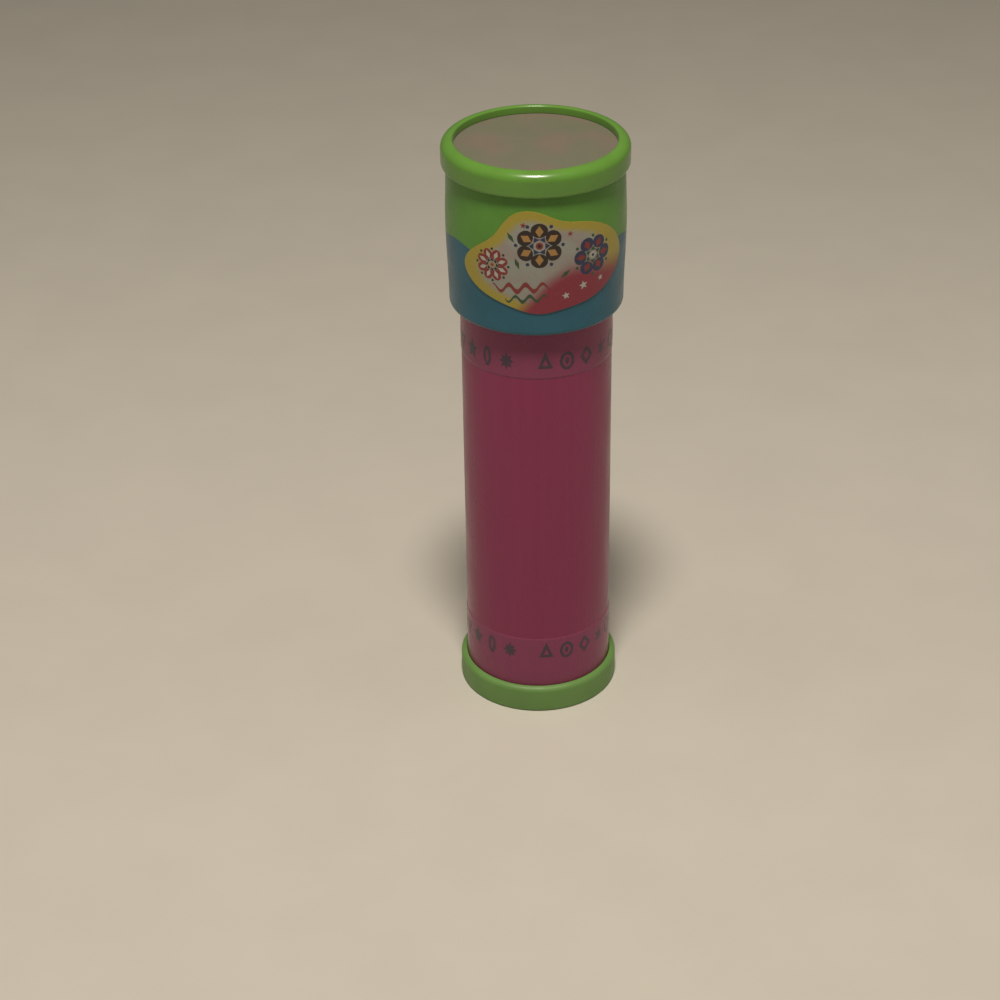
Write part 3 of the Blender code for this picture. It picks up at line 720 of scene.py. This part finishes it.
for lobes, share, turn in lobe_shares:
    lobe = calc(sticker_print, "MULTIPLY_ADD", angle, lobes, -math.radians(turn))
    lobe = calc(sticker_print, "COSINE", lobe)
    edge_reach = calc(sticker_print, "MULTIPLY_ADD", lobe, share, edge_reach)
to_edge = calc(sticker_print, "DIVIDE", calc(sticker_print, "SQRT", squares), edge_reach)
halo = spread(sticker_print, to_edge, halo_start, halo_end)
swirl = calc(sticker_print, "MULTIPLY_ADD", across, swoosh_bend, swoosh_shift)
swirl = calc(sticker_print, "SINE", swirl)
swoosh_line = calc(sticker_print, "MULTIPLY_ADD", swirl, swoosh_rise, swoosh_level)
swoosh_line = calc(sticker_print, "MULTIPLY_ADD", across, swoosh_slope, swoosh_line)
under_line = calc(sticker_print, "SUBTRACT", swoosh_line, up)
swoosh = spread(sticker_print, under_line, 0.0, swoosh_fade)
blotches = spread(sticker_print, noise(sticker_print, 0.004, detail=2.0), 0.35, 0.65)
field = mixed(sticker_print, blotches, sticker_white, sticker_blush)
haloed = mixed(sticker_print, halo, field, sticker_yellow)
colour_surface(sticker_print, sticker_shader, mixed(sticker_print, swoosh, haloed, sticker_magenta))
vary_roughness(sticker_print, sticker_shader, noise(sticker_print, 0.004, detail=4.0), 0.22, 0.32)
bump_surface(sticker_print, sticker_shader, noise(sticker_print, 0.003, detail=2.0), 0.00001)
on_sleeve(vinyl, 0, vinyl_thickness, 0, sticker_middle)
sticker = set_piece(vinyl, "sticker_vinyl", sticker_print)
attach(sticker, "head")
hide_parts("picture_sticker")

ink_colours = {
    "brown": (0.022, 0.013, 0.010),
    "red": (0.21, 0.025, 0.022),
    "navy": (0.018, 0.028, 0.075),
    "green": (0.028, 0.070, 0.028),
    "amber": (0.36, 0.19, 0.055),
    "white": (0.42, 0.42, 0.36),
}
ink_shapes = {}
ribbon_steps = 48
ribbon_tip = 0.96
ribbon_fullness = 0.6


def ink(colour, layer):
    """The flat shape that holds all of one colour's print in one layer."""
    if (colour, layer) not in ink_shapes:
        ink_shapes[(colour, layer)] = bmesh.new()
    return ink_shapes[(colour, layer)]


def ring_of(flat, count, corners, width, length, x, y, distance, turn=0.0, waist=1.0):
    """Lays like shapes in a ring, each with its length pointing away from the middle."""
    for index in range(count):
        degrees = turn + 360 * index / count
        way = math.radians(degrees)
        out_x, out_y = x + distance * math.cos(way), y + distance * math.sin(way)
        add_shape(flat, corners, width, length, out_x, out_y, degrees - 90, waist)


def rosette(x, y, size, petals, colours, turn=0.0):
    """A six- or eight-fold flower as a kaleidoscope shows it, from its rim to its middle."""
    outer, inner, heart, spots = colours
    petal = 2.2 * size / petals
    ring_of(ink(outer, 0), petals, 20, petal * 1.9, size * 0.62, x, y, size * 0.66, turn)
    ring_of(ink(inner, 1), petals, 4, petal * 0.9, size * 0.50, x, y, size * 0.62, turn)
    ring_of(ink(spots, 0), petals, 12, size * 0.15, size * 0.15, x, y, size * 0.95, turn + 180 / petals)
    ring_of(ink(spots, 1), petals, 3, petal * 0.9, size * 0.26, x, y, size * 0.30, turn + 180 / petals)
    add_shape(ink(heart, 1), 24, size * 0.30, size * 0.30, x, y)
    add_shape(ink(outer, 2), 6, size * 0.16, size * 0.16, x, y)


def ribbon(colour, x, y, length, width, waves, rise, slope):
    """A brushed wavy stroke, thick in its middle and pointed at its ends."""
    flat = ink(colour, 1)
    made = bmesh.ops.create_grid(flat, x_segments=ribbon_steps, y_segments=1, size=0.5)["verts"]
    for vert in made:
        along = vert.co.x
        full = math.cos(math.pi * along * ribbon_tip) ** ribbon_fullness
        wave = rise * math.sin(2 * math.pi * waves * along)
        vert.co = (x + length * along, y + vert.co.y * width * full + wave + slope * length * along, 0)


rosette(-0.0118, -0.0004, 0.0046, 8, ("red", "white", "amber", "brown"), 22.5)
rosette(0.0004, 0.0058, 0.0062, 6, ("brown", "amber", "red", "navy"), 30)
rosette(0.0147, 0.0012, 0.0056, 6, ("navy", "red", "white", "green"), 0)
ribbon("red", -0.0042, -0.0060, 0.0150, 0.0014, 3.5, 0.0010, 0.08)
ribbon("green", -0.0030, -0.0090, 0.0110, 0.0010, 3.0, 0.0008, 0.08)
for x, y, turn in ((-0.0068, 0.0078, 35), (0.0070, -0.0024, -50), (-0.0052, 0.0008, 20)):
    add_shape(ink("green", 0), 4, 0.0011, 0.0032, x, y, turn)
for x, y, size in ((0.0072, -0.0086, 0.0022), (0.0120, -0.0066, 0.0026), (0.0174, -0.0060, 0.0018)):
    add_shape(ink("white", 0), 10, size, size, x, y, 12, 0.42)
for x, y, size in ((-0.0036, 0.0112, 0.0018), (0.0082, 0.0084, 0.0016)):
    add_shape(ink("red", 0), 10, size, size, x, y, -8, 0.42)

for (colour, layer), flat in ink_shapes.items():
    print_ink, ink_shader = new_material("print_" + colour, 0.25)
    deep, pale = tones(ink_colours[colour], 0.88, 1.12)
    grain = noise(print_ink, 0.0015, detail=3.0)
    colour_surface(print_ink, ink_shader, mixed(print_ink, grain, deep, pale))
    vary_roughness(print_ink, ink_shader, noise(print_ink, 0.004, detail=4.0), 0.22, 0.32)
    on_sleeve(flat, vinyl_thickness + layer * ink_thickness, ink_thickness, 0, sticker_middle)
    design = set_piece(flat, f"sticker_{colour}_{layer}", print_ink)
    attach(design, "head")


# The rim bezel: a thick rolled rim of glossy green plastic, pushed on over the shell's upper end. It
# clamps the frosted disc and overhangs the sleeve, which it shades.
bezel_low, bezel_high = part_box("rim_bezel")
bezel_radius = bezel_high.x
bezel_bore = shell_radius + seat_gap
disc_contact = 0.00002
rim_colour = (0.120, 0.276, 0.042)
disc_overlap = 0.0015
crown_width_share = 0.83
crown_height_share = 0.36
crown_steps = 24
bezel_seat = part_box("diffuser_disc")[1].z + disc_contact
bezel_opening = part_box("diffuser_disc")[1].x - disc_overlap
crown_width = (bezel_radius - bezel_opening) * crown_width_share
crown_height = (bezel_high.z - bezel_low.z) * crown_height_share
crown_middle = bezel_radius - crown_width
crown_foot = bezel_high.z - crown_height
bezel_profile = []
for step in range(crown_steps + 1):
    angle = math.radians(90 - 90 * step / crown_steps)
    across = crown_middle + crown_width * math.cos(angle)
    bezel_profile.append(Vector((across, crown_foot + crown_height * math.sin(angle))))
bezel_corners = [
    (bezel_radius, crown_foot, 0),
    (bezel_radius, bezel_low.z, 0.0007),
    (bezel_bore, bezel_low.z, 0.0001),
    (bezel_bore, bezel_seat, 0.0002),
    (bezel_opening, bezel_seat, 0.0002),
    (bezel_opening, bezel_high.z, 0.0005),
    (crown_middle, bezel_high.z, 0),
]
bezel_profile += rounded(bezel_corners)[1:-1]
rim_plastic = moulded_plastic("rim_plastic", rim_colour, 0.20, 0.26, peel=0.000003)
bezel = set_piece(turned(bezel_profile), "rim_bezel_moulding", rim_plastic)
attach(bezel, "head")
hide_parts("rim_bezel")


# The frosted disc: milky plastic that lies on the shell's upper end under the rim. It spreads the light over
# the object cell.
# Its own colour is a warm grey. Soft green and red blotches are painted on it, which stand in for the loose
# pieces' colours showing through.
frosted_edge = 0.0002
frosted_plastic, frosted_shader = new_material("frosted_plastic", 0.55, transmission=0.35, ior=1.4)
# Painted light: green and red blotches stand in for the pieces' colours seen through the disc
painted_see_through_tint = spread(frosted_plastic, noise(frosted_plastic, 0.016, detail=1.0), 0.35, 0.65)
frosted_colour = mixed(frosted_plastic, painted_see_through_tint, (0.234, 0.236, 0.158), (0.284, 0.226, 0.172))
colour_surface(frosted_plastic, frosted_shader, frosted_colour)
vary_roughness(frosted_plastic, frosted_shader, noise(frosted_plastic, 0.003, detail=3.0), 0.5, 0.6)
bump_surface(frosted_plastic, frosted_shader, noise(frosted_plastic, 0.00035), 0.000012)
diffuser = disc("diffuser_disc", frosted_plastic, frosted_edge, "frosted_disc")
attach(diffuser, "head")


# The object cell: a clear window below, and a white ring that keeps the frosted disc off it. The loose
# pieces have the room between.
cell_window = disc("cell_window", clear_window, window_edge, "cell_window_disc")
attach(cell_window, "head")
ring_low, ring_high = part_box("cell_ring")
ring_wall = 0.0013
ring_edge = 0.0002
ring_bore = ring_high.x - ring_wall
ring_corners = [
    (ring_high.x, ring_high.z, ring_edge),
    (ring_high.x, ring_low.z, ring_edge),
    (ring_bore, ring_low.z, ring_edge),
    (ring_bore, ring_high.z, ring_edge),
]
white_plastic = moulded_plastic("white_plastic", (0.72, 0.71, 0.67), 0.4, 0.5, 0.03)
cell_ring = set_piece(turned(rounded(ring_corners)), "cell_spacer_ring", white_plastic)
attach(cell_ring, "head")
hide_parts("cell_ring")


# The loose pieces: twelve clear coloured bits that slide and tumble in the cell. Chips are punched from
# sheet with softened edges, beads are moulded, and the sequin is a metallised disc.
chip_edge = 0.00035
chip_edge_steps = 3
bead_steps = 24
bead_ring_steps = 64
loose_smooth_angle = 50
facet_angle = math.radians(35)
loose_weld = 0.000002
loose_colours = {
    "star": ("red_plastic", (0.80, 0.05, 0.07)),
    "heart": ("pink_plastic", (0.82, 0.05, 0.25)),
    "hexagon": ("leaf_plastic", (0.06, 0.50, 0.16)),
    "drop": ("teal_plastic", (0.10, 0.55, 0.45)),
    "crescent": ("violet_plastic", (0.45, 0.10, 0.60)),
    "flower": ("rose_plastic", (0.85, 0.30, 0.45)),
    "triangle": ("amber_plastic", (0.90, 0.60, 0.05)),
    "diamond": ("crimson_plastic", (0.75, 0.08, 0.30)),
    "tube": ("blue_plastic", (0.05, 0.35, 0.75)),
    "sequin": ("gold_plastic", (0.75, 0.55, 0.10)),
    "ring": ("orange_plastic", (0.85, 0.25, 0.02)),
    "ball": ("aqua_plastic", (0.15, 0.60, 0.70)),
}


def gem_plastic(name, colour, metal):
    """See-through coloured plastic with faint swirls of pigment, or the same with a metal skin."""
    material, shader = new_material(name, 0.1, metallic=metal, transmission=0.6 * (1 - metal), ior=1.49)
    swirls = spread(material, noise(material, 0.0012, (1, 1, 2.5), 3.0), 0.3, 0.7)
    deep, pale = tones(colour, 0.82, 1.1)
    colour_surface(material, shader, mixed(material, swirls, deep, pale))
    vary_roughness(material, shader, noise(material, 0.0008, detail=3.0), 0.06, 0.18)
    bump_surface(material, shader, noise(material, 0.0005), 0.000004)
    return material


def softened(node, edge):
    """A copy of a flat solid, with whole faces and rounded edges."""
    shape = bmesh.new()
    shape.from_mesh(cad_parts[node].data)
    bmesh.ops.remove_doubles(shape, verts=shape.verts, dist=loose_weld)
    bmesh.ops.dissolve_limit(shape, angle_limit=math.radians(1), verts=shape.verts, edges=shape.edges)
    sharp = [border for border in shape.edges if border.calc_face_angle(0) > facet_angle]
    bmesh.ops.bevel(
        shape, geom=sharp, offset=edge, segments=chip_edge_steps, profile=0.5, affect="EDGES",
        material=-1, clamp_overlap=True,
    )
    bmesh.ops.recalc_face_normals(shape, faces=shape.faces)
    return shape


def ball_shape(low, high):
    shape = bmesh.new()
    radius = (high.z - low.z) / 2
    bmesh.ops.create_uvsphere(shape, u_segments=2 * bead_steps, v_segments=bead_steps, radius=radius)
    return shape


def ring_shape(low, high):
    thick = (high.z - low.z) / 2
    middle = (high.x - low.x) / 2 - thick
    angles = [math.tau * step / bead_steps for step in range(bead_steps)]
    section = [Vector((middle + thick * math.cos(a), thick * math.sin(a))) for a in angles]
    return turned(section, steps=bead_ring_steps)


for name, (slot, colour) in loose_colours.items():
    node = "loose_" + name
    low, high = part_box(node)
    if name in ("ball", "ring"):
        shape = {"ball": ball_shape, "ring": ring_shape}[name](low, high)
        bmesh.ops.translate(shape, vec=(low + high) / 2, verts=shape.verts)
    else:
        shape = softened(node, chip_edge if name not in ("tube", "sequin") else chip_edge / 2)
    bit_plastic = gem_plastic(slot, colour, 1.0 if name == "sequin" else 0.0)
    piece = set_piece(shape, name + "_bit", bit_plastic, loose_smooth_angle)
    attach(piece, name)
    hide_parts(node)
